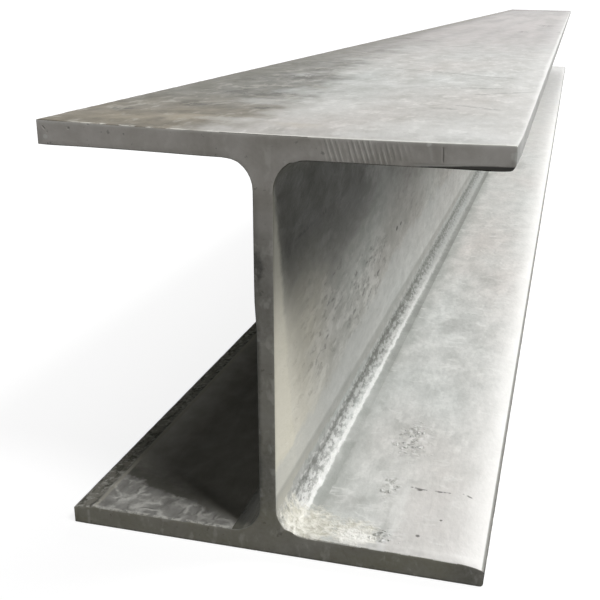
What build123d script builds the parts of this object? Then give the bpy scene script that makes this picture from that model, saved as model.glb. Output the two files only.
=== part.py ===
from build123d import *
import os

# Hot-rolled wide-flange beam, in millimetres.
# X runs across the flanges, Y along the length and Z up.
# The origin is under the middle of the beam, on the underside of the lower flange.

# Cross-section
FLANGE_WIDTH = 200.0
SECTION_DEPTH = 195.5
FLANGE_THICKNESS = 10.0
WEB_THICKNESS = 8.0

# Radius of the fillets that join the web to the flanges
ROOT_RADIUS = 14.0

# Towards each toe the rolls let the flange's inner face fall away in a shallow arc
TOE_RUN = 12.0
LOWER_TOE_DROP = 1.8
UPPER_TOE_DROP = 0.6

# Radii of the long edges at the toes
LOWER_OUTER_EDGE_RADIUS = 1.6
LOWER_INNER_EDGE_RADIUS = 1.0
UPPER_INNER_EDGE_RADIUS = 2.4
UPPER_OUTER_EDGE_RADIUS = 0.8

# Along the beam
BEAM_LENGTH = 3000.0

# The zinc coat leaves the sawn edges at both ends a little round
END_EDGE_RADIUS = 0.5

half_width = FLANGE_WIDTH / 2
half_web = WEB_THICKNESS / 2
half_length = BEAM_LENGTH / 2
toe_start = half_width - TOE_RUN

# Heights of the flanges' inner faces, at the web and at the toes
lower_inner = FLANGE_THICKNESS
upper_inner = SECTION_DEPTH - FLANGE_THICKNESS
lower_toe = lower_inner - LOWER_TOE_DROP
upper_toe = upper_inner + UPPER_TOE_DROP

# Each corner of the section's right half that is rounded: its x, its height and its radius
rounded_corners = [
    (half_web, lower_inner, ROOT_RADIUS),
    (half_web, upper_inner, ROOT_RADIUS),
    (half_width, 0, LOWER_OUTER_EDGE_RADIUS),
    (half_width, lower_toe, LOWER_INNER_EDGE_RADIUS),
    (half_width, upper_toe, UPPER_INNER_EDGE_RADIUS),
    (half_width, SECTION_DEPTH, UPPER_OUTER_EDGE_RADIUS),
]


def corner_pair(face, x, height):
    """The two corners of the section at this height, right and left of the web."""
    pair = []
    for side_x in (x, -x):
        corner = min(face.vertices(), key=lambda v: (v.X - side_x) ** 2 + (v.Y - height) ** 2)
        pair.append(corner)
    return pair


with BuildPart() as beam:
    # The section is drawn at the far end, where the sketch's own axes are X and Z
    with BuildSketch(Plane.XZ.offset(-half_length)) as section:
        with BuildLine():
            Polyline((0, 0), (half_width, 0), (half_width, lower_toe))
            TangentArc((toe_start, lower_inner), (half_width, lower_toe), tangent=(1, 0))
            Polyline(
                (toe_start, lower_inner),
                (half_web, lower_inner),
                (half_web, upper_inner),
                (toe_start, upper_inner),
            )
            TangentArc((toe_start, upper_inner), (half_width, upper_toe), tangent=(1, 0))
            Polyline((half_width, upper_toe), (half_width, SECTION_DEPTH), (0, SECTION_DEPTH))
            mirror(about=Plane.YZ)
        make_face()
        for x, height, radius in rounded_corners:
            fillet(corner_pair(section.sketch_local, x, height), radius)
    extrude(amount=BEAM_LENGTH)
    end_faces = beam.faces().filter_by(Axis.Y)
    fillet(end_faces.edges(), END_EDGE_RADIUS)

i_beam = beam.part
i_beam.label = "i_beam"

os.makedirs("parts", exist_ok=True)
export_step(i_beam, "parts/i_beam.step")
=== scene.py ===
import bpy, bmesh
import math
from functools import reduce
from mathutils import Matrix, Vector


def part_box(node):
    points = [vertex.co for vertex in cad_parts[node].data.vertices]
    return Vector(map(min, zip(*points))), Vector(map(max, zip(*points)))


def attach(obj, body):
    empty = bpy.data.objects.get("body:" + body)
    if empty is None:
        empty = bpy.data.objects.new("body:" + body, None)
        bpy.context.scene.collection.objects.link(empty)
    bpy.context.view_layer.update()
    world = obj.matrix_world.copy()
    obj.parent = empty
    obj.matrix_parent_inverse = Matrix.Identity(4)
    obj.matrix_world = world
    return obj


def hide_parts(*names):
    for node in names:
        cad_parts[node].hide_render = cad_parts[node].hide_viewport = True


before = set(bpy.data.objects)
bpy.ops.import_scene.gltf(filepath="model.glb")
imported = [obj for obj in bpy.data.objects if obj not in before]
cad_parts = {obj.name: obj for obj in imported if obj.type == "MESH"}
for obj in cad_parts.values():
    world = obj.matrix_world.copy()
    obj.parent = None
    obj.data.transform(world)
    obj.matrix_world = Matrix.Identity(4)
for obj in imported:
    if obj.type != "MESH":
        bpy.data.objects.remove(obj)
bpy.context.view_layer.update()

# The beam's box from the frame: X across the flanges, Y along the length, Z up
low_corner, high_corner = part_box("i_beam")
HALF_WIDTH = high_corner.x
HALF_LENGTH = high_corner.y
DEPTH = high_corner.z
NEAR_END = -HALF_LENGTH

# The section, in metres
FLANGE = .01
WEB = .008
ROOT_RADIUS = .014
TOE_RUN = .012
LOWER_TOE_DROP = .0018
UPPER_TOE_DROP = .0006
LOWER_OUTER_EDGE = .0016
LOWER_INNER_EDGE = .001
UPPER_INNER_EDGE = .0024
UPPER_OUTER_EDGE = .0008
END_EDGE = .0005

# The left toes came out of the rolls sharper than the right ones
LEFT_LOWER_TOE_DROP = .0015
LEFT_EDGE = .0005

HALF_WEB = WEB / 2
LOWER_INNER = FLANGE
UPPER_INNER = DEPTH - FLANGE
TOE_START = HALF_WIDTH - TOE_RUN
# The centres of the root fillets
ROOT_X = HALF_WEB + ROOT_RADIUS
LOWER_ROOT = LOWER_INNER + ROOT_RADIUS
UPPER_ROOT = UPPER_INNER - ROOT_RADIUS

# How near counts as on an edge, on a face with relief, and clear of a face's border
HAIR = 1e-5
CLOSE = .001
SLIVER = .0001

# The near end's top edge is worn rounder than the rest by this many times its radius, less beyond WEAR_ENDS
TOP_EDGE_WEAR = 1.6
WEAR_ENDS = .07

# Faces that meet at less than this, in degrees, look like one smooth skin
SMOOTH_BELOW = 35


def falloff(distance, reach):
    """1 at the middle, easing to 0 at the reach."""
    t = max(0.0, 1.0 - abs(distance) / reach)
    return t * t * (3 - 2 * t)


# Selecting and shaping in edit mode

def select_only(piece):
    bpy.ops.object.select_all(action="DESELECT")
    piece.select_set(True)
    bpy.context.view_layer.objects.active = piece


def edit(piece, mode="FACE"):
    """Opens one piece in edit mode with nothing selected."""
    if bpy.context.mode != "OBJECT":
        bpy.ops.object.mode_set(mode="OBJECT")
    select_only(piece)
    bpy.ops.object.mode_set(mode="EDIT")
    bpy.ops.mesh.select_mode(type=mode)
    bpy.ops.mesh.select_all(action="DESELECT")


def pick(piece, kind, wanted):
    """Selects the edges or faces of the piece that the test accepts."""
    bpy.ops.mesh.select_all(action="DESELECT")
    mesh = bmesh.from_edit_mesh(piece.data)
    mesh.normal_update()
    for item in getattr(mesh, kind):
        if wanted(item):
            item.select_set(True)
    mesh.select_flush_mode()
    bmesh.update_edit_mesh(piece.data)


def centre_of(edge):
    return (edge.verts[0].co + edge.verts[1].co) / 2


def middle_of(face):
    return face.calc_center_median()


def runs_along(edge, axis):
    way = (edge.verts[1].co - edge.verts[0].co).normalized()
    return abs(way[axis]) > .999


def cut(position, axis):
    """Cuts the whole open piece with a plane square to the axis."""
    facing = Vector((0, 0, 0))
    facing[axis] = 1
    bpy.ops.mesh.select_all(action="SELECT")
    bpy.ops.mesh.bisect(plane_co=facing * position, plane_no=facing)


def finish_edit():
    bpy.ops.object.mode_set(mode="OBJECT")


# The beam

def rolled_section():
    """A block for the lower flange, drawn up into the web and out into the upper flange."""
    bpy.ops.object.select_all(action="DESELECT")
    bpy.ops.mesh.primitive_cube_add(size=1)
    beam = bpy.context.object
    beam.name = "galvanised_beam"
    beam.scale = (2 * HALF_WIDTH, 2 * HALF_LENGTH, FLANGE)
    beam.location = (0, 0, FLANGE / 2)
    bpy.ops.object.transform_apply(location=True, rotation=True, scale=True)

    edit(beam)
    for x in (-HALF_WEB, HALF_WEB):
        cut(x, 0)
    pick(beam, "faces", lambda f: f.normal.z > .9 and abs(middle_of(f).x) < HALF_WEB)
    bpy.ops.mesh.extrude_region_move(TRANSFORM_OT_translate={"value": (0, 0, DEPTH - 2 * FLANGE)})
    bpy.ops.mesh.extrude_region_move(TRANSFORM_OT_translate={"value": (0, 0, FLANGE)})
    for side in (-1, 1):
        pick(beam, "faces", lambda f: f.normal.x * side > .9 and middle_of(f).z > UPPER_INNER)
        reach = side * (HALF_WIDTH - HALF_WEB)
        bpy.ops.mesh.extrude_region_move(TRANSFORM_OT_translate={"value": (reach, 0, 0)})
    bpy.ops.mesh.select_all(action="SELECT")
    bpy.ops.mesh.dissolve_limited(angle_limit=math.radians(1))
    finish_edit()
    return beam


def round_long_edges(beam):
    """Root fillets at the web and small radii at the toes."""
    rounded = [
        (x, height, ROOT_RADIUS, 8) for x in (HALF_WEB, -HALF_WEB) for height in (LOWER_INNER, UPPER_INNER)]
    rounded += [
        (HALF_WIDTH, 0, LOWER_OUTER_EDGE, 3),
        (HALF_WIDTH, LOWER_INNER, LOWER_INNER_EDGE, 3),
        (HALF_WIDTH, UPPER_INNER, UPPER_INNER_EDGE, 4),
        (HALF_WIDTH, DEPTH, UPPER_OUTER_EDGE, 3),
    ]
    rounded += [(-HALF_WIDTH, height, LEFT_EDGE, 3) for height in (0, LOWER_INNER, UPPER_INNER, DEPTH)]
    edit(beam, "EDGE")
    for x, height, radius, segments in rounded:
        def at_corner(e):
            middle = centre_of(e)
            return runs_along(e, 1) and abs(middle.x - x) < HAIR and abs(middle.z - height) < HAIR
        pick(beam, "edges", at_corner)
        bpy.ops.mesh.bevel(offset=radius, segments=segments, profile=.5, affect="EDGES")
    finish_edit()


def round_end_edges(beam):
    """The zinc leaves the sawn outline of both ends a little round."""
    edit(beam, "EDGE")

    def on_outline(e):
        turned = [abs(f.normal.y) for f in e.link_faces]
        return max(turned) > .99 and min(turned) < .5

    pick(beam, "edges", on_outline)
    bpy.ops.mesh.bevel(offset=END_EDGE, segments=3, profile=.5, affect="EDGES")
    finish_edit()
    for v in beam.data.vertices:
        down, inward = DEPTH - v.co.z, v.co.y - NEAR_END
        if down < END_EDGE + HAIR and inward < END_EDGE + HAIR:
            wear = TOP_EDGE_WEAR * falloff(max(0.0, abs(v.co.x) - WEAR_ENDS), HALF_WIDTH - WEAR_ENDS)
            v.co.z -= down * wear
            v.co.y += inward * wear


def let_toes_fall(beam):
    """The inner faces of the flanges fall away in a shallow arc towards each toe."""
    edit(beam)
    steps = 5
    for side in (-1, 1):
        for i in range(steps):
            cut(side * (TOE_START + TOE_RUN * .85 * i / steps), 0)
    finish_edit()
    for v in beam.data.vertices:
        run = abs(v.co.x) - TOE_START
        if run <= HAIR:
            continue
        share = (run / TOE_RUN) ** 2
        right = v.co.x > 0
        if FLANGE * .5 < v.co.z < DEPTH / 2:
            v.co.z -= share * (LOWER_TOE_DROP if right else LEFT_LOWER_TOE_DROP)
        elif right and DEPTH / 2 < v.co.z < DEPTH - FLANGE * .6:
            v.co.z += share * UPPER_TOE_DROP


# How close the cuts of the section stand
COLUMN = .0036
CLEAR_OF_WEB = .0015
WEB_ROWS = 40


def divide_section(beam):
    """Columns across the flanges and up the web, fine enough to carry the relief."""
    edit(beam)
    count = int(TOE_START / COLUMN)
    for i in range(1, count):
        for side in (-1, 1):
            x = side * TOE_START * i / count
            if abs(x) > HALF_WEB + CLEAR_OF_WEB:
                cut(x, 0)
    for i in range(1, WEB_ROWS):
        cut(LOWER_ROOT + (UPPER_ROOT - LOWER_ROOT) * i / WEB_ROWS, 2)
    finish_edit()


def divide_length(beam):
    """Rings along the beam: close together at the near end, wider apart further on."""
    zones = [
        (0.0, .1, 38), (.1, .3, 40), (.3, .9, 44), (.9, 2.0, 28), (2.0, 2.9, 20), (2.9, 3.0, 7),
    ]
    edit(beam, "EDGE")
    for start, _, _ in zones[1:]:
        cut(NEAR_END + start, 1)
    for start, end, rings in zones:
        low, high = NEAR_END + start, NEAR_END + end
        pick(beam, "edges", lambda e: runs_along(e, 1) and low < centre_of(e).y < high)
        bpy.ops.mesh.subdivide(number_cuts=rings)
    finish_edit()


def divide_patches(beam):
    """Closer faces where lumps and ripples of zinc stand on the surface near the front."""
    def on_lower(c, n, left, right, run):
        return n.z > .9 and c.z < .012 and left < c.x < right and c.y < NEAR_END + run

    areas = [
        # right of the root, and once more under the lumps
        lambda c, n: on_lower(c, n, .018, .094, .15),
        lambda c, n: on_lower(c, n, .032, .066, .14),
        # root fillet of the right bay
        lambda c, n: c.z < .0245 and .0035 < c.x < .0185 and .05 < n.z < .99 and c.y < NEAR_END + .3,
        # left bay
        lambda c, n: on_lower(c, n, -.098, -.016, .05),
    ]
    edit(beam)
    for inside in areas:
        pick(beam, "faces", lambda f: inside(middle_of(f), f.normal))
        bpy.ops.mesh.subdivide(number_cuts=1)
    finish_edit()


def divide_ends(beam):
    """Rows and columns on the sawn faces, closest where the saw left its marks."""
    edit(beam, "EDGE")

    def on_cap(e, way):
        return all(abs(f.normal.y) > .999 for f in e.link_faces) and runs_along(e, way)

    def divide(end, way, cuts, wanted):
        """Cuts those edges of one cap that run one way and that the test accepts by their middles."""
        def is_wanted(e):
            middle = centre_of(e)
            return middle.y * end > 0 and on_cap(e, way) and wanted(middle)
        pick(beam, "edges", is_wanted)
        bpy.ops.mesh.subdivide(number_cuts=cuts)

    def on_flange(m):
        return abs(m.x) > HALF_WEB and not LOWER_INNER + .002 < m.z < UPPER_INNER - .002

    for end, rows in ((-1, 6), (1, 2)):
        divide(end, 2, rows, on_flange)
        divide(end, 0, 1, lambda m: m.z > UPPER_INNER)
        divide(end, 0, 4, lambda m: abs(m.x) < HALF_WEB and LOWER_INNER < m.z < UPPER_INNER)
    divide(-1, 0, 6, lambda m: m.z > UPPER_INNER and .016 < m.x < .076)
    for height in (.0008, .0012, .0016, .0021, .0026):
        pick(beam, "faces", lambda f: f.normal.y < -.999 and middle_of(f).x > .056
             and UPPER_INNER < middle_of(f).z < UPPER_INNER + .0035)
        bpy.ops.mesh.bisect(plane_co=(0, 0, UPPER_INNER + height), plane_no=(0, 0, 1))
    finish_edit()


beam = rolled_section()
round_long_edges(beam)
round_end_edges(beam)
let_toes_fall(beam)
divide_section(beam)
divide_length(beam)
divide_patches(beam)
divide_ends(beam)


# Relief of the zinc coat and of the saw

def patch_weight(co, middle, reach):
    """How much a place belongs to a patch of the given half sizes."""
    far = math.sqrt(sum(((co[i] - middle[i]) / reach[i]) ** 2 for i in range(3)))
    return falloff(far, 1.0)


def roughen(piece, name, grain, height, level, weight_at):
    """Raises or sinks the skin by a cloudy texture where the weights say."""
    group = piece.vertex_groups.new(name=name)
    for v in piece.data.vertices:
        weight = weight_at(v.co, v.normal)
        if weight > .001:
            group.add([v.index], min(weight, 1.0), "REPLACE")
    texture = bpy.data.textures.new(name, "CLOUDS")
    texture.noise_scale = grain
    texture.noise_depth = 2
    modifier = piece.modifiers.new(name, "DISPLACE")
    modifier.texture = texture
    modifier.texture_coords = "LOCAL"
    modifier.vertex_group = name
    modifier.strength = height
    modifier.mid_level = level
    bpy.context.view_layer.objects.active = piece
    bpy.ops.object.modifier_apply(modifier=name)
    piece.vertex_groups.remove(piece.vertex_groups[name])


def place(x, along, z):
    """A place on the beam, in metres from the middle of the near end's foot."""
    return Vector((x, NEAR_END + along, z))


# Faces for lumps and marks: the two axes that run in the face, and its place on the third
TOP = (0, 1, DEPTH)
LOWER_FACE = (0, 1, FLANGE)
WEB_FACE = (1, 2, HALF_WEB)
END_FACE = (0, 2, 0.0)


def point_on(face, first, second):
    """The place that two distances in millimetres give on a face."""
    where = [face[2]] * 3
    where[face[0]], where[face[1]] = first / 1000, second / 1000
    return place(*where)


def patches(face, *figures, thick=10):
    """Middles and reaches of patches on a face, from the middle and the half sizes in millimetres."""
    found = []
    for first, second, wide, long in figures:
        reach = [thick / 1000] * 3
        reach[face[0]], reach[face[1]] = wide / 1000, long / 1000
        found.append((point_on(face, first, second), reach))
    return found


def lines(face, *figures):
    """Starts and stops of lines on a face, in millimetres."""
    return [(point_on(face, *ends[:2]), point_on(face, *ends[2:])) for ends in figures]


# Lumps of zinc on the lower flange
LUMPS = patches(LOWER_FACE, (49.5, 110, 13.5, 27), (46.5, 56, 6, 15), (53, 14, 11, 8), thick=20)
# The bead that runs along the left toe, and the scale beyond it
LEFT_BEAD = .0885
BEAD_HEIGHT = .0005
LEFT_SCALE = .0935
# The bead of zinc in the right root fillet, as a turn about the fillet's centre
BEAD_TURN = .56
# The upper flange's underside: its sag in the left bay, and what hangs down at the near end
SAG = .0004
HANG = .0004
LEFT_HANG = .0005
# The front edge of the top is ground down, and zinc stands up along the front of the lower flange
SLUMP = .0011
SLUMP_RUN = .02
LIP = .0011
LIP_RUN = .012
# The near right corner of the upper flange, worn back
CORNER_WEAR = .0006
CORNER_WIDE = .006
# The cut's burr on the web's left face
BURR = .0008
BURR_FOOT = .108
BURR_RUN = .016


def lump_weight(co, normal):
    """The lumps of zinc on the lower flange."""
    if normal.z < .8 or not .009 <= co.z <= .014:
        return 0.0
    return max(patch_weight(co, middle, reach) for middle, reach in LUMPS)


def outline_weight(co, normal):
    """The long edges of both flanges, worn a little uneven."""
    return falloff(HALF_WIDTH - abs(co.x), .004)


def root_weight(co, normal):
    """The fillets, where the zinc ran together in ripples."""
    low = abs(co.z - (LOWER_INNER + .003)) < .011
    if not low or not HALF_WEB < abs(co.x) < ROOT_X:
        return 0.0
    steepness = min(abs(normal.x), abs(normal.z))
    return min(1.0, steepness * 2.2)


def front_weight(co, normal):
    """Drips that stiffened along the front edge of the lower flange's inner face."""
    if normal.z < .8 or not .009 < co.z < .012:
        return 0.0
    return falloff(co.y - (NEAR_END + .0035), .004)


def is_outer(co):
    """The faces that bound the section: the top, the underside and the toes."""
    return co.z < .002 or co.z > DEPTH - .002 or abs(co.x) > HALF_WIDTH - .002


def outer_weight(co, normal):
    return 1.0 if abs(normal.y) < .5 and is_outer(co) else 0.0


def inner_weight(co, normal):
    return 1.0 if abs(normal.y) < .5 and not is_outer(co) else 0.0


def on_left_toe(co):
    """Near the toe of the lower flange in the left bay."""
    return co.x <= 0 and .005 < co.z < .012


def bead_weight(co):
    return falloff(abs(co.x) - LEFT_BEAD, .0022) if on_left_toe(co) else 0.0


def toe_weight(co, normal):
    """The scale beyond the bead, out to the left toe."""
    return falloff(abs(co.x) - LEFT_SCALE, .0045) if on_left_toe(co) and normal.z >= .5 else 0.0


def root_bead_weight(co, normal):
    """The bead of zinc low in the fillet of the right bay."""
    if co.x < HALF_WEB or not LOWER_INNER - CLOSE < co.z < LOWER_ROOT:
        return 0.0
    turn = math.atan2(ROOT_X - co.x, LOWER_ROOT - co.z)
    return falloff(turn - BEAD_TURN, .22) * falloff(max(0.0, co.y - NEAR_END - .3), .6)


def worn_corner(co):
    """How far the near right corner of the upper flange is worn back."""
    if co.z < UPPER_INNER - CLOSE or co.x < HALF_WIDTH - CORNER_WIDE:
        return 0.0
    share = min(1.0, (co.x - HALF_WIDTH + CORNER_WIDE) / CORNER_WIDE)
    return CORNER_WEAR * falloff(co.y - NEAR_END, .03) * share


def web_burr(co):
    """How far the cut's burr stands out from the web's left face and its upper fillet at the near end."""
    reach = falloff(co.y - NEAR_END, .006)
    if abs(co.x + HALF_WEB) < CLOSE and BURR_FOOT < co.z < UPPER_ROOT + SLIVER:
        return Vector((-BURR * reach * min(1.0, (co.z - BURR_FOOT) / BURR_RUN), 0, 0))
    way = Vector((-ROOT_X, co.y, UPPER_ROOT)) - co
    if way.x < 0 and way.z < 0 and abs(way.length - ROOT_RADIUS) < CLOSE:
        return way.normalized() * BURR * reach
    return Vector()


def bow(x):
    """Most at the middle of the flange and nothing at its toes."""
    return max(0.0, 1.0 - (x / HALF_WIDTH) ** 2)


def between(value, low, high):
    """The share of the way from low to high, held between 0 and 1."""
    return min(1.0, max(0.0, (value - low) / (high - low)))


def slump(co):
    """How far the front edge of the top is ground down."""
    return SLUMP * bow(co.x) * falloff(co.y - NEAR_END, SLUMP_RUN) * between(co.z, DEPTH - .006, DEPTH)


def lip(co):
    """How far zinc stands up along the front of the lower flange in the right bay."""
    share = between(co.z, .004, FLANGE) * between(co.z, .0145, .0115)
    share *= between(co.x, HALF_WEB, HALF_WEB + .004)
    return LIP * share * bow(co.x) * falloff(co.y - NEAR_END, LIP_RUN)


def hang(co):
    """How far the underside of the upper flange hangs down."""
    near = falloff(co.y - NEAR_END, .012)
    fall = SAG * falloff(min(co.x, 0.0), .085)
    fall += HANG * falloff(co.x + .015, .06) * near
    return fall + LEFT_HANG * between(co.x, 0.0, -.018) * near


def add_relief(beam):
    """Cloudy relief where the weights say, then the forms that have a place of their own."""
    for name, grain, height, level, weight_at in (
        ("rolled_waves", .06, .0003, .4, inner_weight),
        ("zinc_skin", .012, .00012, .5, inner_weight),
        ("outer_skin", .02, .00012, .7, outer_weight),
        ("worn_outline", .006, .00035, .62, outline_weight),
        ("zinc_lumps", .003, .003, .42, lump_weight),
        ("root_bead", .006, .002, .2, root_bead_weight),
        ("root_ripples", .004, .0006, .45, root_weight),
        ("front_drips", .004, .0011, .15, front_weight),
        ("toe_scale", .005, .0012, .7, toe_weight),
    ):
        roughen(beam, name, grain, height, level, weight_at)
    for v in beam.data.vertices:
        co = v.co
        co.z += BEAD_HEIGHT * bead_weight(co)
        burr = web_burr(co)
        if abs(co.z - UPPER_INNER) < CLOSE:
            co.z -= max(0.0, hang(co) + burr.z)
        co.z += lip(co) - slump(co)
        co.x -= worn_corner(co)
        co += burr
        for axis in range(3):
            co[axis] = max(low_corner[axis], min(high_corner[axis], co[axis]))


# The saw's marks on the near end, right of the web in the upper flange
SAW_START = .025
SAW_STOP = .064
SAW_PITCH = .0022
SAW_LEAN = .34
SAW_DEPTH = .00008
END_WAVE = .00003
# What lies less than this behind the end still belongs to its face
SKIN = .0004
# The blade broke through before the right corner: the lower edge is torn back from here on
BREAK_START = .062
BREAK_LOW = .0008
BREAK_HIGH = .0022
BREAK_DEPTH = .0012
BREAK_RUN = .012


def mark_sawn_end(beam):
    """Saw marks on the upper flange's end, a slight wave all over it, and the torn lower edge."""
    for v in beam.data.vertices:
        co = v.co
        inward = co.y - NEAR_END
        if inward > BREAK_RUN or co.z < UPPER_INNER - CLOSE and inward > SKIN:
            continue
        if inward < SKIN:
            depth = END_WAVE * math.sin(co.x * 500 + 3 * math.sin(co.z * 300))
            across = co.x + SAW_LEAN * (co.z - UPPER_INNER)
            if co.z > UPPER_INNER - CLOSE:
                zone = falloff(across - (SAW_START + SAW_STOP) / 2, (SAW_STOP - SAW_START) / 2 * 1.25)
                ridge = .5 + .5 * math.cos(2 * math.pi * (across - SAW_START) / SAW_PITCH)
                depth += SAW_DEPTH * min(1.0, 2 * zone) * ridge
            co.y += max(0.0, depth)
        share = (co.x - BREAK_START) / (HALF_WIDTH - BREAK_START)
        if co.z > UPPER_INNER - CLOSE and share > 0:
            tall = BREAK_LOW + (BREAK_HIGH - BREAK_LOW) * share
            low_part = between(co.z, UPPER_INNER + tall, UPPER_INNER)
            torn = BREAK_DEPTH * min(1.0, share * 6) * low_part ** .5
            co.y += torn * falloff(inward, BREAK_RUN)


add_relief(beam)
mark_sawn_end(beam)

select_only(beam)
bpy.ops.object.shade_smooth_by_angle(angle=math.radians(SMOOTH_BELOW))

# Finishes

def put(tree, kind, **settings):
    node = tree.nodes.new(kind)
    for name, value in settings.items():
        setattr(node, name, value)
    return node


class Pattern:
    """A number, place or colour that varies over the surface, with the usual arithmetic."""

    def __init__(self, socket):
        self.socket = socket
        self.tree = socket.id_data

    __add__ = __radd__ = lambda self, other: calc("ADD", self, other)
    __mul__ = __rmul__ = lambda self, other: calc("MULTIPLY", self, other)
    __sub__ = lambda self, other: calc("SUBTRACT", self, other)
    __rsub__ = lambda self, other: calc("SUBTRACT", other, self)
    __truediv__ = lambda self, other: calc("DIVIDE", self, other)
    __rtruediv__ = lambda self, other: calc("DIVIDE", other, self)
    __abs__ = lambda self: calc("ABSOLUTE", self)


def feed(socket, source):
    """Links a socket to its pattern, or sets its value. A plain colour is always opaque."""
    if isinstance(source, Pattern):
        source.tree.links.new(source.socket, socket)
    elif socket.type == "RGBA":
        socket.default_value = (*source, 1)
    else:
        socket.default_value = source


def made_by(kind, inputs, output, **settings):
    """The pattern that a new node gives, and the patterns and values that feed it."""
    inputs = list(inputs)
    tree = next(source.tree for _, source in inputs if isinstance(source, Pattern))
    node = put(tree, kind, **settings)
    for key, source in inputs:
        feed(node.inputs[key], source)
    return Pattern(node.outputs[output])


def calc(operation, *sources, clamp=False):
    return made_by("ShaderNodeMath", enumerate(sources), 0, operation=operation, use_clamp=clamp)


def highest(one, other):
    return calc("MAXIMUM", one, other)


def vector(operation, *sources):
    single = operation in ("LENGTH", "DOT_PRODUCT")
    output = "Value" if single else "Vector"
    return made_by("ShaderNodeVectorMath", enumerate(sources), output, operation=operation)


def stretched(at, x, y, z):
    """The place with each axis scaled, so that a pattern is drawn out along the smaller ones."""
    return vector("MULTIPLY", at, (x, y, z))


def drawn_out(at, share):
    """The place, for a pattern that is drawn out along the beam."""
    return stretched(at, 1, share, 1)


def ease(value, low, high, to_low=0.0, to_high=1.0):
    """A smooth step from one value to another."""
    inputs = enumerate((value, low, high, to_low, to_high))
    return made_by("ShaderNodeMapRange", inputs, "Result", interpolation_type="SMOOTHSTEP")


def lay(factor, under, over, mode="MIX"):
    """Lays one colour over another."""
    inputs = [(0, factor), (6, under), (7, over)]
    return made_by("ShaderNodeMix", inputs, 2, data_type="RGBA", blend_type=mode)


def cloud(at, size, detail=3.0, roughness=.55, distortion=0.0):
    """Cloudy noise with lumps of about this size, in metres."""
    inputs = {
        "Vector": at, "Scale": 1.0 / size, "Detail": detail, "Roughness": roughness, "Distortion": distortion,
    }
    return made_by("ShaderNodeTexNoise", inputs.items(), "Fac")


def shaken(at, scale, by):
    """The place pushed about by noise, by this much along each axis."""
    drift = made_by("ShaderNodeTexNoise", [("Vector", at), ("Scale", scale)], "Color")
    return vector("ADD", at, vector("MULTIPLY", vector("SUBTRACT", drift, (.5, .5, .5)), by))


def axes(at):
    node = put(at.tree, "ShaderNodeSeparateXYZ")
    feed(node.inputs[0], at)
    return [Pattern(socket) for socket in node.outputs]


def named(sockets):
    return {socket.name: Pattern(socket) for socket in sockets}


ORIGIN = Vector((0.0, 0.0, 0.0))
KINDS = {float: "NodeSocketFloat", Vector: "NodeSocketVector", tuple: "NodeSocketColor"}


def start_group(name, gives, **takes):
    """A node group that takes a place and more: itself, what comes in by name and what goes out."""
    group = bpy.data.node_groups.new(name, "ShaderNodeTree")
    for label, value in {"Place": ORIGIN, **takes}.items():
        socket = group.interface.new_socket(label, in_out="INPUT", socket_type=KINDS[type(value)])
        socket.default_value = (*value, 1) if isinstance(value, tuple) else value
    for label in gives:
        kind = KINDS[tuple if label == "Colour" else float]
        group.interface.new_socket(label, in_out="OUTPUT", socket_type=kind)
    return group, named(put(group, "NodeGroupInput").outputs), put(group, "NodeGroupOutput").inputs


def use(group, **sources):
    """Places a group beside its sources, which are given by name, and returns what it gives."""
    tree = next(source.tree for source in sources.values() if isinstance(source, Pattern))
    node = put(tree, "ShaderNodeGroup", node_tree=group)
    for label, source in sources.items():
        feed(node.inputs[label], source)
    return named(node.outputs)


def mask(group, at, **sources):
    """The amount that a group gives at each place."""
    return use(group, Place=at, **sources)["Amount"]


def mottled(at, size, contrast, detail):
    return mask(mottle, at, Size=size, Contrast=contrast, Detail=detail)


def flecked(at, size, level, soft):
    return mask(flecks, at, Size=size, Level=level, Soft=soft)


# Mottle: soft blotches, pushed towards light and dark
mottle, given, made = start_group("mottle", ["Amount"], Size=.01, Contrast=1.6, Detail=3.0, Swirl=.2)
grey = cloud(given["Place"], given["Size"], given["Detail"], .58, given["Swirl"])
feed(made["Amount"], calc("MULTIPLY_ADD", grey - .5, given["Contrast"], .5, clamp=True))

# Spot: one ragged patch at a place
spot, given, made = start_group(
    "spot", ["Amount"],
    Middle=ORIGIN, Reach=Vector((.01, .01, .01)), Torn=0.0, Soft=.5,
)
off = vector("DIVIDE", vector("SUBTRACT", given["Place"], given["Middle"]), given["Reach"])
far = vector("LENGTH", off) + given["Torn"]
feed(made["Amount"], ease(far, 1.0, 1.0 - given["Soft"]))

# Scratch: a fine line from one place to another
scratch, given, made = start_group("scratch", ["Amount"], Start=ORIGIN, Stop=ORIGIN, Width=.0005)
from_start = vector("SUBTRACT", given["Place"], given["Start"])
whole = vector("SUBTRACT", given["Stop"], given["Start"])
square = vector("DOT_PRODUCT", whole, whole)
share = calc("DIVIDE", vector("DOT_PRODUCT", from_start, whole), square, clamp=True)
nearest = vector("MULTIPLY", whole, share)
away = vector("LENGTH", vector("SUBTRACT", from_start, nearest))
feed(made["Amount"], ease(away, given["Width"], 0.0))

# Flecks: small irregular bits where the noise peaks
flecks, given, made = start_group("flecks", ["Amount"], Size=.003, Level=.6, Soft=.07)
peak = cloud(given["Place"], given["Size"], 3.0, .6, .2)
feed(made["Amount"], ease(peak, given["Level"], given["Level"] + given["Soft"]))

# Droplets: small round lumps of run zinc, of mixed sizes, with a rim round each where painted shade goes
droplets, given, made = start_group("droplets", ["Height", "Shaded_Rim"], Size=.003, Share=.5)
bent = shaken(given["Place"], .9 / given["Size"], given["Size"] * 1.4)
cells = [("Vector", bent), ("Scale", 1.0 / given["Size"])]
away = made_by("ShaderNodeTexVoronoi", cells, "Distance")
luck = axes(made_by("ShaderNodeTexVoronoi", cells, "Color"))
there = ease(luck[0], given["Share"], given["Share"] - .05)
away = away / (luck[1] * .35 + .25)
feed(made["Height"], ease(away, 1.0, .15) * there)
feed(made["Shaded_Rim"], ease(away, .75, 1.0) * ease(away, 1.5, 1.05) * there)

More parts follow.
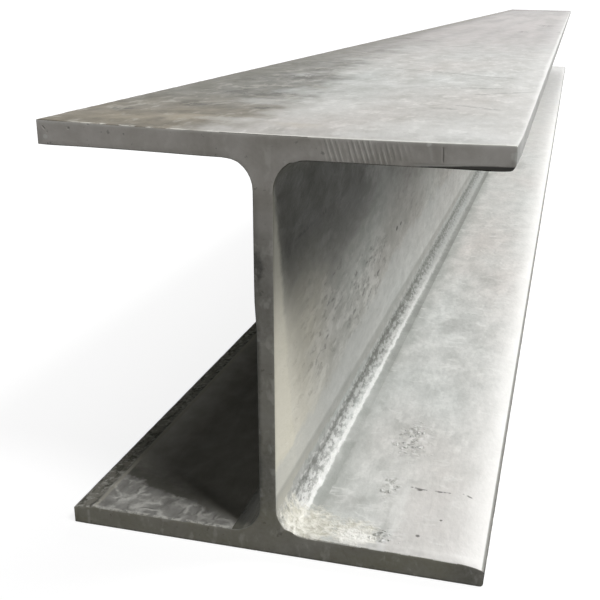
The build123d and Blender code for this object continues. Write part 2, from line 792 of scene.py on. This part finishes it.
# Zinc skin: the dull grey coat with its blotches, pale flecks and fine tooth
skin, given, made = start_group(
    "zinc_skin", ["Colour", "Roughness", "Height", "Blotches", "Broad"],
    Light=(.66, .65, .62), Dark=(.5, .5, .47), Blotch=.012, Pale=.3, Roughness=.58,
)
broad = mottled(given["Place"], .11, 2.4, 2.0)
blotch = mottled(given["Place"], given["Blotch"], 2.6, 5.0)
fine = mottled(given["Place"], .0026, 2.2, 2.0)
colour = lay(blotch, given["Dark"], given["Light"])
colour = lay(broad * .35, colour, given["Dark"])
pale = flecked(given["Place"], given["Blotch"] * .55, .54, .12)
colour = lay(pale * given["Pale"], colour, (.86, .86, .83))
pinkish = lay(broad, (.965, .995, 1.0), (1.03, .985, .975))
colour = lay(1.0, colour, pinkish, "MULTIPLY")
grain = lay(fine, (.93, .93, .93), (1.06, 1.06, 1.06))
colour = lay(1.0, colour, grain, "MULTIPLY")
feed(made["Colour"], colour)
feed(made["Roughness"], blotch * -.16 + given["Roughness"])
feed(made["Height"], fine * .3 + blotch * .7)
feed(made["Blotches"], blotch)
feed(made["Broad"], broad)


class Finish:
    """A material on Object coordinates that is painted coat by coat."""

    def __init__(self, name, specular):
        self.material = bpy.data.materials.new(name)
        self.material.use_nodes = True
        tree = self.material.node_tree
        self.shader = tree.nodes["Principled BSDF"].inputs
        self.shader["Specular IOR Level"].default_value = specular
        self.at = Pattern(put(tree, "ShaderNodeTexCoord").outputs["Object"])

    def places(self):
        """The place itself, its x and z, and how far along the beam it lies from the near end."""
        x, y, z = axes(self.at)
        return self.at, x, y - NEAR_END, z

    def paint(self, share, colour, mode="MIX"):
        self.colour = lay(share, self.colour, colour, mode)

    def settle(self, roughness, height, distance):
        """Gives the shader its colour, its roughness and the fine relief."""
        feed(self.shader["Base Color"], self.colour)
        feed(self.shader["Roughness"], roughness)
        relief = [("Height", height), ("Distance", distance)]
        feed(self.shader["Normal"], made_by("ShaderNodeBump", relief, "Normal"))


def strongest(masks):
    return reduce(highest, masks)


def frayed(value, at, size, detail, roughness, by):
    """The value with cloudy noise on it, so that an edge drawn by it is ragged."""
    return (cloud(at, size, detail, roughness) - .5) * by + value


def spots(at, places, ragged, grain, soft):
    """The strongest of several patches with torn edges, each with its middle and its reach."""
    torn = (cloud(at, grain, 4.0, .65) - .5) * (ragged * 2)
    return strongest([
        mask(spot, at, Middle=middle, Reach=reach, Torn=torn, Soft=soft) for middle, reach in places])


def scratches(at, runs, width, wander):
    """Broken, slightly wandering lines."""
    bent = shaken(at, 90, (2 * wander, 2 * wander, 0.0))
    total = strongest([mask(scratch, bent, Start=start, Stop=stop, Width=width) for start, stop in runs])
    return total * ease(cloud(at, .004, 2.0), .38, .52)


PALE_ZINC = (.53, .53, .51)
MID_ZINC = (.4, .4, .375)
OLIVE_ZINC_AND_SHADE = (.075, .075, .06)
DARK_SMUDGE = (.085, .08, .068)
FLOOR_LIGHT = (.8, .795, .77)
FLOOR_DARK = (.56, .565, .54)
PAINTED_HIGHLIGHT_ZINC = (.7, .7, .68)
CREAM_ZINC = (.88, .87, .81)
ROOT_SHADE_GREY = (.39, .41, .385)
ROOT_FOOT_SHADOW = (.2, .21, .19)
DEEP_SHADE = (.055, .055, .045)
WEB_SHADE = (.04, .04, .035)

# The crust of dross at the front of the right bay: middle and reach of its patches
CRUST = [
    (place(.037, .011, .01), (.015, .014, .02)),
    (place(.016, .01, .012), (.022, .021, .02)),
]
CRUST_DARK = (.58, .56, .47)
CRUST_LIGHT = (.97, .955, .88)


def flange_skin(at):
    """The zinc skin of the lower flange's inner face."""
    drawn = drawn_out(at, .45)
    return use(skin, Place=drawn, Light=FLOOR_LIGHT, Dark=FLOOR_DARK, Blotch=.013, Pale=.35)


def crackled(at):
    return mottled(at, .0034, 3, 3)


def add_crust(coat):
    """Paints the crust of dross, and returns where it lies and how it is crackled."""
    crust = spots(coat.at, CRUST, .7, .004, .6)
    crackle = crackled(coat.at)
    coat.paint(crust * .92, lay(crackle, CRUST_DARK, CRUST_LIGHT))
    return crust, crackle


def front_rim(along, crackle):
    """The bright, broken front edge of the lower flange's inner face."""
    return ease(along, .0022, .001) * ease(crackle, .3, .6)


# Top of the beam: stained tan and grey on the left, wiped pale in patches, with a painted highlight towards
# the right edge
coat = zinc_top = Finish("zinc_top", .1)
at, x, along, z = coat.places()
drawn = drawn_out(at, .46)
base = use(skin, Place=drawn, Light=PALE_ZINC, Dark=MID_ZINC, Blotch=.014, Pale=.22)
side = frayed(x + ease(along, .04, .42, 0, .032), at, .035, 5, .65, .1)
stained = ease(side, .006, -.036) * ease(along, 1.5, .1, .42, 1)
streaks = mottled(at, .011, 3.2, 6)
brown = ease(along, .15, .02)
deep = lay(brown, (.08, .079, .067), (.11, .096, .069))
tan = lay(brown, (.18, .175, .15), (.215, .189, .142))
coat.colour = base["Colour"]
coat.paint(stained * .96, lay(streaks, deep, tan))
coat.paint(stained * (flecked(drawn, .008, .55, .1) * .45), (.4, .385, .34))
wiped = spots(at, patches(
    TOP, (6, 80, 30, 50), (36, 9, 16, 8), (-24, 30, 22, 10), (-32, 98, 20, 24), (-56, 248, 14, 24),
    (60, 30, 40, 40),
), .9, .01, .9)
coat.paint(wiped * .36, (.66, .66, .64))
rusty = spots(at, patches(TOP, (7, 23, 15, 10), (-70, 20, 20, 10), (-45, 30, 20, 14)), .8, .006, .9)
coat.paint(rusty * .34, (.38, .33, .24))
scored = scratches(at, lines(
    TOP, (49.6, 203, 75.2, 209), (63.8, 117, 82.4, 106), (67.8, 172, 98.6, 201), (54, 102, 62, 101),
    (-11, 328, 79, 279),
), .0044, .002)
far_cloud = cloud(drawn_out(at, .09), .034, 3, .5)
far_grey = lay(ease(far_cloud, .36, .64), (.27, .249, .242), (.362, .334, .324))
coat.paint(ease(along, .25, 1) * .86, far_grey)
smudged = spots(at, patches(
    TOP, (-83, 46, 9, 6), (-59, 74, 14, 10), (-26, 70, 10, 6), (-50, 130, 28, 18), (-85, 213, 18, 45),
    (-50, 228, 20, 35), (-86, 336, 16, 45), (-54, 291, 12, 10), (-80, 760, 20, 16), (68, 1360, 18, 60),
    (45, 1060, 12, 25), (95, 1085, 5, 20),
), 1.1, .005, .7)
crisp = flecked(drawn, .0045, .47, .06)
coat.paint(smudged * (crisp * .7 + .15), (.065, .062, .052))
coat.paint(scored * .62, (.18, .18, .165))
left_border = ease(frayed(x, drawn, .01, 4, .6, .012), -.066, -.095) * ease(along, .06, .16)
coat.paint(left_border * .72, (.13, .125, .1))
# Painted highlight: the right part of the top and its rounded right edge are painted paler
coat.paint(ease(frayed(x, drawn, .012, 4, .6, .012), .075, .096) * .3, PAINTED_HIGHLIGHT_ZINC)
inner = ease(along, .04, .4, .0992, .0974)
painted_edge_highlight = ease(frayed(x, drawn, .03, 3, .5, .003), inner - .0016, inner + .0012)
coat.paint(painted_edge_highlight * .8, PAINTED_HIGHLIGHT_ZINC)
coat.paint(ease(along, 1.8, 2.8) * .4, (.22, .21, .205))
coat.paint(ease(along, 2.65, 2.95) * .45, (.13, .125, .12))
kept = ease(cloud(at, .0045, 3), .44, .58)
kept = highest(kept * .7, ease(x, -.05, 0, 0, .75)) * ease(x, -.092, -.076, 0, 1)
coat.paint(ease(along, .0024, .0012) * kept * .85, (.92, .91, .84))
coat.settle(base["Roughness"], base["Height"], .0002)

# Web, undersides and sides: cloudy zinc with dark flecks, dull and olive under the upper flange where painted
# shade darkens it, with painted light on the web near the sawn end
coat = zinc_plain = Finish("zinc_plain", .05)
at, x, along, z = coat.places()
drawn = drawn_out(at, .45)
base = use(skin, Place=drawn, Light=(.685, .68, .635), Dark=(.43, .43, .4), Blotch=.011, Pale=.22)
right_side = ease(x, 0, .001)
where = spots(at, patches(WEB_FACE, (70, 88, 80, 50), (190, 75, 100, 35), thick=20), .8, .02, .8)
long_drawn = drawn_out(at, .35)
fleck = flecked(long_drawn, .0046, .52, .14) * highest(where, ease(base["Broad"], .55, .85) * .5)
coat.colour = base["Colour"]
coat.paint(fleck * .6, DARK_SMUDGE)
elsewhere = drawn_out(vector("ADD", at, (0, .3, .1)), .35)
bloom = flecked(elsewhere, .0066, .5, .12)
coat.paint(bloom * (where * .34 + .26), (.82, .81, .77))
drift = base["Broad"] - .5 + (base["Blotches"] - .5)
frayed_height = drift * .022 + z
front = (base["Blotches"] - .5) * .04 + along
# Painted shade high on the web near the end, under the upper flange
painted_shade_high_on_web = ease(frayed_height, .096, .148) * ease(front, .235, .16)
painted_shade_high_on_web = painted_shade_high_on_web * ease(along, .002, .026, .8, .98)
coat.paint(painted_shade_high_on_web, (.03, .031, .022))
# Olive zinc up the web and on the upper flange's underside, partly its own tone and partly painted shade
under = ease(frayed_height, .055, .16) * ease(along, 1.7, .32, .42, 1)
coat.paint(under * .71, OLIVE_ZINC_AND_SHADE)
behind = spots(at, patches(WEB_FACE, (150, 45, 110, 40), (340, 88, 150, 30), thick=20), .8, .02, .8)
coat.paint(behind * .28, (.3, .3, .275))
# Painted light on the lower web near the sawn end, where light reaches in past the upper flange
painted_light_near_end = ease((base["Blotches"] - .5) * .02 + along, .115, .025) * ease(z, .144, .095)
painted_light_near_end = painted_light_near_end * right_side
coat.paint(painted_light_near_end * .66, (.82, .785, .66))
# Painted light: a lit wedge beside the cut edge, bounded by the upper flange's shadow line
painted_lit_wedge = drift * .003 + along - (.178 - z) * .22
painted_lit_wedge = ease(painted_lit_wedge, .003, -.003) * right_side
coat.paint(painted_lit_wedge * .58, lay(ease(z, .165, .11), (.45, .44, .38), (.8, .77, .65)))
high = ease(along, 0, .35, .038, .066)
ragged = frayed(z, long_drawn, .01, 4, .6, .03)
low_band = ease(z, .026, .032) * ease(ragged, high + .008, high) * right_side
coat.paint(low_band * .55, (.56, .572, .555))
above_root = ease(z, .0325, .029) * right_side
coat.paint(above_root * .62, (.33, .335, .315))
coat.paint(spots(at, patches(WEB_FACE, (82, 131, 22, 4)), .6, .006, .9) * .3, (.5, .5, .47))
marks = scratches(at, lines(WEB_FACE, (36, 144, 84, 145.2)), .0016, .001)
dots = spots(at, patches(WEB_FACE, (304, 85.8, 4, 1.7), (288, 85.9, 5, 2.1)), .2, .002, .5)
coat.paint(highest(marks, dots) * .75, (.03, .03, .025))
left_bay = ease(x, 0, -.004)
# Painted shade on the web and the upper flange's underside in the left bay
painted_bay_shade = ease(along, 0, .5, .45, .8) * ease(along, .35, .9, 1, 0)
coat.paint(left_bay * painted_bay_shade, DEEP_SHADE)
low_toe = ease(x, .098, .099) * ease(z, .01, .0085)
coat.paint(low_toe * .92, lay(base["Blotches"], DEEP_SHADE, (.14, .14, .12)))
upper_toe = ease(x, HALF_WIDTH - .002, HALF_WIDTH - .001) * ease(z, .186, .188)
coat.paint(upper_toe * .85, lay(base["Blotches"], (.43, .43, .415), (.57, .57, .55)))
coat.paint(upper_toe * ease(along, .2, 1.4, 0, .55), (.24, .24, .23))
# Painted shade on the rounding under the upper flange's right toe
shaded_toe_rounding = ease(x, HALF_WIDTH - .003, HALF_WIDTH - .002) * ease(z, .1885, .1868)
coat.paint(shaded_toe_rounding * ease(z, .184, .1855, 0, .9), (.13, .13, .12))
# Painted shade on the torn underside at the near end's broken edge
torn_under_shade = ease(z, UPPER_INNER + .0028, UPPER_INNER + .0022) * ease(along, .01, .006) * ease(x, .06, .066)
coat.paint(torn_under_shade * .9, (.035, .035, .03))
coat.settle(base["Roughness"], fleck * -.8 + base["Height"], .00035)

# Inner face of the lower flange in the right bay: pale and blotchy, with painted shade near the root and
# painted light towards the right toe
coat = zinc_floor = Finish("zinc_floor", .1)
at, x, along, z = coat.places()
base = flange_skin(at)
coat.colour = base["Colour"]
coat.paint(ease(along, .4, 1.4, 0, .65), (.72, .715, .695))
torn = cloud(drawn_out(at, .45), .01, 4, .65) - .5
# Painted shade on the flange near the root, under the web and the upper flange
painted_root_shade = ease(torn * .02 + x, .031, .017)
coat.paint(painted_root_shade * ease(along, .1, .45, .48, .72), ROOT_SHADE_GREY)
patchy = ease(cloud(at, .03, 2), .42, .58)
# Painted shadow of the root's zinc bead, patchy, on the flange beside it
foot = ease(torn * .008 + x, .0205, .0172)
coat.paint(foot * (patchy * .4), ROOT_FOOT_SHADOW)
wisp = cloud(stretched(at, .55, 1, 1), .011, 3, .55, .2) - .5
wisp = ease(abs(wisp), .06, 0) * ease(cloud(at, .016, 3), .5, .64)
coat.paint(wisp * .38, (.92, .92, .9))
lumps = spots(at, LUMPS, .9, .005, .8)
drops = use(droplets, Place=at, Size=.0036, Share=.8)
# Painted shade round the lumps and painted highlight on their tops
coat.paint(lumps * (drops["Shaded_Rim"] * .55), (.26, .26, .24))
coat.paint(lumps * (drops["Height"] * .75), (.93, .93, .91))
crust, crackle = add_crust(coat)
dross = spots(at, patches(LOWER_FACE, (39, 8.5, 12, 10.5), thick=20), .5, .004, .6)
coat.paint(dross * .95, lay(crackle, (.93, .92, .87), (1, .995, .95)))
plain_side = torn * .022 + x
plain_front = ease(torn * .02 + along, .068, .056)
coat.paint(ease(plain_side, .054, .06) * (plain_front * .42), (.72, .695, .675))
skirt = ease(plain_side, .049, .054) * ease(plain_side, .06, .055)
coat.paint(skirt * (plain_front * .36), (.9, .9, .88))
# Painted light towards the right toe, which faces more of the light
painted_light_right_side = ease(torn * .016 + x, .07, .098) * ease(along, .8, 2.2, 1, .2)
coat.paint(painted_light_right_side * .75, (.92, .91, .885))
coat.paint(ease(along, 1.2, 2.6) * .55, (.42, .415, .41))
mark = scratches(at, lines(
    LOWER_FACE, (57, 59.5, 65, 58.8), (70, 58.8, 77, 59), (84, 60, 90, 56),
), .0009, .0008)
pits = spots(at, patches(
    LOWER_FACE, (61.9, 58, 2.2, 1.4), (72, 58.5, 2, .7), (67.4, 17.2, 1.4, 1.4), (76.1, 32.9, 1, 1),
), .3, .002, .6)
smudge = spots(at, patches(
    LOWER_FACE, (54.3, 585, 5, 10), (56.3, 572, 8, 6), (57.9, 1004, 14, 50), (57, 65, 5, 4),
    (50, 300, 20, 30), (29, 38, 12, 14), (65, 420, 14, 30),
), .8, .008, .9)
coat.paint(highest(mark, pits) * .85, (.1, .1, .09))
coat.paint(smudge * .4, (.36, .36, .34))
coat.paint(ease(x, .0984, .0992) * .85, (.16, .16, .14))
coat.paint(front_rim(along, crackle) * .3, CREAM_ZINC)
height = crust * crackle * 1.5 + lumps * drops["Height"] * 3.5 + base["Height"]
coat.settle(base["Roughness"], height, .00035)

# Inner face of the lower flange in the left bay: in shade, with a lit and blistered front. Its colour has a
# lit and a shaded copy, split along the key lamp's shadow line, with painted shade deeper in and along the
# shadow's edge
coat = zinc_bay = Finish("zinc_bay", 0)
at, x, along, z = coat.places()
drawn = drawn_out(at, .6)
base = use(skin, Place=drawn, Light=FLOOR_LIGHT, Dark=FLOOR_DARK, Blotch=.01, Pale=.2)
torn = cloud(at, .01, 4, .65) - .5
slant = x * .39 + (torn * .016 + along)
lit = ease(slant, .0012, -.0034)
shaded_bay = lay(base["Blotches"], (.49, .475, .415), (.64, .625, .57))
# Painted shade deeper in the bay
deep = ease(along, .12, .44) * ease(along, .4, .9, 1, 0)
shaded_bay = lay(deep, shaded_bay, (.18, .175, .145))
edge_shade = ease(slant, .022, .001) * ease(x, -.01, -.06, .25, .9)
shaded_bay = lay(edge_shade, shaded_bay, (.135, .132, .112))
cells = [("Vector", shaken(at, 160, (.008, .008, 0))), ("Scale", 110)]
blisters = made_by("ShaderNodeTexVoronoi", cells, "Distance", feature="DISTANCE_TO_EDGE")
vein = ease(blisters, .24, 0) * ease(cloud(at, .009, 3), .38, .6)
lit_bay = lay(base["Blotches"], (.24, .235, .215), (.5, .49, .46))
lit_bay = lay(vein * .66, lit_bay, CREAM_ZINC)
lit_bay = lay(ease(x, -.06, -.03, 0, .3), lit_bay, (.2, .196, .18))
coat.colour = lay(lit, shaded_bay, lit_bay)
bead = ease(abs(x + LEFT_BEAD), .0016, .0005)
coat.paint(bead * .8, (.5, .48, .41))
scale = flecked(drawn_out(at, .5), .0046, .46, .16)
glint = flecked(vector("ADD", at, (.1, .3, 0)), .003, .51, .1)
beyond = ease(x, -.0895, -.091) * ease(x, -.0994, -.0984)
coat.paint(beyond * .8, (.27, .26, .22))
coat.paint(scale * (beyond * .6), (.07, .07, .055))
coat.paint(glint * (beyond * .62), (.6, .59, .54))
coat.paint(front_rim(along, crackled(at)) * .6, (.86, .85, .78))
coat.settle(base["Roughness"], lit * vein * 2 + base["Height"], .00035)

# Root fillets: the zinc ran together here in a rippled line, painted bright as zinc and lamp highlight, dark
# and flecked above it
coat = zinc_root = Finish("zinc_root", .2)
at, x, along, z = coat.places()
base = use(skin, Place=at, Light=(.52, .53, .51), Dark=(.34, .355, .335), Blotch=.007, Pale=.2)
turn = calc("ARCTAN2", ROOT_X - abs(x), LOWER_ROOT - z)
ripple = cloud(drawn_out(at, .35), .0032, 4, .65, .2)
jagged = (ripple - .5) * .46 + turn
strokes = ease(cloud(drawn_out(at, .36), .0024, 4, .7), .43, .57)
right_side = ease(x, 0, .001)
front = ease((base["Blotches"] - .5) * .05 + along, .24, .05)
core_top = front * .03 + .52
core = ease(jagged, core_top + .1, core_top) * ease((ripple - .5) * .22 + turn, .36, .43)
plume_top = front * .1 + .88
plume = ease(jagged, .42, .54) * ease(jagged, plume_top, plume_top - .32)
plume = plume * (strokes * .62 + front * .06)
# The bright zinc line, partly its own colour and partly a painted highlight
crest_and_highlight = highest(plume, core * (strokes * .12 + .88)) * ease(along, .02, .55, 1, .05)
# The fillet's lower part: the flange's colour mixed with the grey of the painted root shade
flat = lay(.5, flange_skin(at)["Colour"], ROOT_SHADE_GREY)
coat.colour = lay(ease(turn, .34, .62), flat, base["Colour"])
patchy = ease(cloud(at, .03, 2), .42, .58)
# Painted shadow of the zinc bead at the fillet's foot, deeper further along under the upper flange
foot = ease(jagged, .46, .28) * (patchy * .22 + .1)
foot = ease(along, .06, .35, 0, .38) * ease(jagged, .46, .28) + foot
coat.paint(foot, ROOT_FOOT_SHADOW)
steep = ease(jagged, .64, .84) * ease(turn, 1.42, 1.22)
mixed = lay(strokes, (.13, .132, .118), (.36, .37, .35))
mixed = lay(front * .8, mixed, lay(strokes, (.34, .345, .33), (.66, .665, .645)))
coat.paint(steep * .85, mixed)
edge_line = ease(jagged, .96, 1.06) * ease(jagged, 1.26, 1.14)
coat.paint(edge_line * .55, (.1, .105, .09))
far_root = ease(along, .28, .55, 0, .42) * ease(turn, 1.15, .95)
coat.paint(far_root, (.2, .205, .19))
coat.paint(crest_and_highlight, (.87, .875, .85))
crust, crackle = add_crust(coat)
left_shade = lay(ease(along, .02, .5), (.26, .255, .215), (.12, .12, .1))
left_shade = lay(ease(along, .35, .9), left_shade, (.95, .95, .93))
coat.paint(1, lay(right_side, left_shade, (1, 1, 1)), "MULTIPLY")
crest_and_highlight = crest_and_highlight * right_side
feed(coat.shader["Metallic"], crest_and_highlight * .2)
relief = crest_and_highlight * strokes * .4 + crust * crackle * .8 + ripple
coat.settle(crest_and_highlight * -.16 + .56, relief, .0006)

# Sawn ends: bare dark steel under a thin coat, with the saw's slanting lines
coat = sawn_steel = Finish("sawn_steel", .2)
at = coat.at
x, y, z = axes(at)
near = ease(y, 0, -.1)
patina = mottled(at, .016, 2.6, 5)
grain = mottled(at, .002, 1.8, 3)
coat.colour = lay(patina, (.33, .316, .288), (.55, .535, .51))
coat.paint(ease(x, -.005, -.05) * .16, (.8, .76, .7))
coat.paint(ease(x, .07, .096) * ease(z, .18, .187) * .25, (.8, .79, .76))
coat.paint(mottled(at, .024, 3.4, 3) * ease(z, .16, .02, .15, .8), (.4, .39, .32))
coat.paint(1, lay(ease(z, 0, DEPTH * .95), (.74, .735, .68), (1.28, 1.26, 1.26)), "MULTIPLY")
fray = cloud(at, .009, 4, .65) - .5
on_web = ease(z, .175, .15) * ease(z, .015, .035)
coat.paint(on_web * .45, (.185, .185, .16))
shaded = spots(at, patches(END_FACE, (0, 128, 10, 26), (0, 42, 10, 22)), .6, .008, .9)
coat.paint(shaded * .4, (.09, .09, .075))
right_foot = ease(x, .08, .0945) * ease(z, .02, .012)
coat.paint(right_foot * .55, (.085, .085, .07))
foot_line = ease(fray * .001 + z, .0016, .0006)
coat.paint(foot_line * .45, (.08, .08, .07))
web_left = ease(fray * .0034 + x, -.0018, -.0038) * ease(z, .104, .12, .6, .18)
coat.paint(web_left * on_web, WEB_SHADE)
burr = spots(at, patches(END_FACE, (-3, 139, 3.4, 9)), .5, .003, .6)
coat.paint(burr * .75, WEB_SHADE)
coat.paint(grain * .2, (.6, .58, .55))
brow = ease(fray * .0012 + z, DEPTH - .0024, DEPTH - .0004)
coat.paint(brow * (patina * .3 + .16), (.84, .83, .8))
lean = frayed((z - UPPER_INNER) * SAW_LEAN + x, at, .014, 2, .55, .0012)
phase = (lean - SAW_START) * (2 * math.pi / SAW_PITCH)
ridge = calc("COSINE", phase) * -.5 + .5
zone = ease(lean, SAW_START - .002, SAW_START + .006) * ease(lean, SAW_STOP, SAW_STOP - .016)
zone = zone * ease(z, UPPER_INNER - .002, UPPER_INNER) * near
worn = ease(cloud(stretched(at, 1, 1, .4), .004, 3), .36, .6)
ridge = ease(ridge, .4, .95) * (zone * worn)
coat.paint(ridge * .38, (.84, .84, .78))
coat.paint(flecked(at, .0034, .64, .07) * .42, (.1, .1, .09))
speck = flecked(stretched(at, 1, 1, .6), .006, .54, .14)
coat.paint(speck * .32, (.74, .725, .68))
chips = spots(at, patches(
    END_FACE, (98.3, 191.2, 1.6, 2.2), (-96, 188.5, 1.4, 1.2), (66.2, 194.2, 1.4, 1.2),
), .8, .0012, .6)
coat.paint(chips * .7, (.88, .88, .84))
nicks = scratches(at, lines(END_FACE, (71.6, 193, 71.8, 187), (-96.8, 192.5, -95, 190.5)), .0006, .0002)
pricks = spots(at, patches(END_FACE, (-85, 192.5, .8, .8), (-76, 194.6, .8, .6)), .3, .002, .6)
nicks = highest(nicks, pricks)
coat.paint(nicks * .3, (.06, .06, .055))
over_lens = z - (fray * .0006 + ease(x, .062, .094, UPPER_INNER, UPPER_INNER + .0017))
on_break = ease(x, .059, .064) * ease(z, UPPER_INNER - .002, UPPER_INNER - .0015) * near
worn_lip = ease(over_lens, .0011, .0006) * ease(x, .09, .078)
coat.paint(on_break * (worn_lip * .55), (.86, .86, .82))
# Painted shade: the torn lower edge faces down, and its lens is painted near black
lens = ease(over_lens, .0004, -.0002) * on_break
coat.paint(lens * .92, (.03, .03, .026))
seam = scratches(at, lines(
    END_FACE, (66.6, 193.5, 67.6, 188.5), (67.6, 188.5, 70, 187), (70, 187, 78, 187.5), (-92, 9, -92.2, 1),
), .0011, .0003)
coat.paint(seam * .45, (.7, .69, .65))
coat.settle(.6, grain * .35 + ridge * 1.1 - nicks * 2, .00012)


def on_lower_face(c, n):
    """The inner face of the lower flange."""
    return n.z > .3 and .007 < c.z < .0135


def dress(piece, finishes):
    """Gives each finish to the faces that its test accepts. The first is the finish of the rest."""
    for finish, _ in finishes:
        piece.data.materials.append(finish.material)
    edit(piece)
    for slot, (_, wanted) in enumerate(finishes[1:], 1):
        pick(piece, "faces", lambda f: wanted(middle_of(f), f.normal))
        piece.active_material_index = slot
        bpy.ops.object.material_slot_assign()
    finish_edit()


def is_root(c, n):
    inside = HALF_WEB + SLIVER < abs(c.x) < ROOT_X - SLIVER
    return inside and c.z < LOWER_ROOT - SLIVER and c.z > LOWER_INNER + HAIR and abs(n.y) < .5


def is_torn(c, n):
    return c.x > .059 and UPPER_INNER < c.z < UPPER_INNER + .005 and c.y < NEAR_END + .005 and n.y < -.25


dress(beam, [
    (zinc_plain, None),
    (zinc_top, lambda c, n: c.z > DEPTH - .0012 and n.z > .3),
    (zinc_floor, lambda c, n: on_lower_face(c, n) and c.x > ROOT_X - .0005),
    (zinc_bay, lambda c, n: on_lower_face(c, n) and c.x < .0005 - ROOT_X),
    (zinc_root, is_root),
    (sawn_steel, lambda c, n: abs(c.y) > HALF_LENGTH - CLOSE and abs(n.y) > .8 or is_torn(c, n)),
])

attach(beam, "root")
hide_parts("i_beam")

# Floor, backdrop and light

def shown_as(tree, lit, shown):
    """The camera, gloss and glass see one shader, and the light that falls on the beam another."""
    ray = named(put(tree, "ShaderNodeLightPath").outputs)
    mix = put(tree, "ShaderNodeMixShader")
    seen = [ray["Is " + kind + " Ray"] for kind in ("Camera", "Glossy", "Transmission")]
    feed(mix.inputs["Fac"], strongest(seen))
    tree.links.new(lit, mix.inputs[1])
    tree.links.new(shown, mix.inputs[2])
    return mix.outputs["Shader"]


bpy.ops.object.select_all(action="DESELECT")
bpy.ops.mesh.primitive_plane_add(size=200, location=(0, 0, -.0002))
floor = bpy.context.object
floor.name = "floor"
paper = bpy.data.materials.new("white_paper")
paper.use_nodes = True
tree = paper.node_tree
matt = tree.nodes["Principled BSDF"]
feed(matt.inputs["Base Color"], (.22, .22, .215))
feed(matt.inputs["Roughness"], 1.0)
pale = put(tree, "ShaderNodeBsdfDiffuse")
feed(pale.inputs["Color"], (.28, .28, .28))
glow = put(tree, "ShaderNodeEmission")
feed(glow.inputs["Strength"], .86)
sheet = put(tree, "ShaderNodeAddShader")
tree.links.new(pale.outputs["BSDF"], sheet.inputs[0])
tree.links.new(glow.outputs["Emission"], sheet.inputs[1])
shown = shown_as(tree, matt.outputs["BSDF"], sheet.outputs["Shader"])
tree.links.new(shown, tree.nodes["Material Output"].inputs["Surface"])
floor.data.materials.append(paper)


def add_lamp(name, azimuth, height, strength, spread):
    """A distant lamp. Azimuth runs from +X towards +Y. Strength 1 makes white paper that faces it white."""
    data = bpy.data.lights.new(name, "SUN")
    data.energy = strength * math.pi
    data.angle = math.radians(spread)
    lamp = bpy.data.objects.new(name, data)
    bpy.context.scene.collection.objects.link(lamp)
    turn, rise = math.radians(azimuth), math.radians(height)
    way = Vector((math.cos(turn) * math.cos(rise), math.sin(turn) * math.cos(rise), math.sin(rise)))
    lamp.location = way * 8
    lamp.rotation_euler = way.to_track_quat("Z", "Y").to_euler()


add_lamp("key_lamp", -23, 54, .46, 14)
add_lamp("side_box", 35, 36, .44, 22)
add_lamp("rear_box", 80, 36, .54, 30)
add_lamp("front_fill", -90, 30, .035, 60)

world = bpy.data.worlds.new("studio")
bpy.context.scene.world = world
world.use_nodes = True
tree = world.node_tree
fill = tree.nodes["Background"]
feed(fill.inputs["Color"], (.02, .02, .02))
backdrop = put(tree, "ShaderNodeBackground")
feed(backdrop.inputs["Color"], (1, 1, 1))
shown = shown_as(tree, fill.outputs["Background"], backdrop.outputs["Background"])
tree.links.new(shown, tree.nodes["World Output"].inputs["Surface"])

# Camera at the photograph's viewpoint: place and heading from the near end's centre line.
# The lens and the sensor are in millimetres, the shifts and the photo's width in pixels.
SENSOR = 36
LENS = 53.74
SHIFT_X = -47.4
SHIFT_Y = 14.6
PHOTO_WIDTH = 600
CAMERA_PLACE = Vector((.11512, NEAR_END - .33879, .24859))
CAMERA_AHEAD = Vector((-.21455, .91535, -.34074))
CAMERA_RIGHT = Vector((.97189, .2347, .01855))
back = -CAMERA_AHEAD.normalized()
right = CAMERA_RIGHT.normalized()
up = back.cross(right)
lens = bpy.data.cameras.new("camera")
lens.sensor_width = SENSOR
lens.lens = LENS
lens.shift_x = SHIFT_X / PHOTO_WIDTH
lens.shift_y = SHIFT_Y / PHOTO_WIDTH
camera = bpy.data.objects.new("camera", lens)
bpy.context.scene.collection.objects.link(camera)
camera.matrix_world = Matrix.Translation(CAMERA_PLACE) @ Matrix((right, up, back)).transposed().to_4x4()
bpy.context.scene.camera = camera

bpy.context.scene.view_settings.view_transform = "Standard"
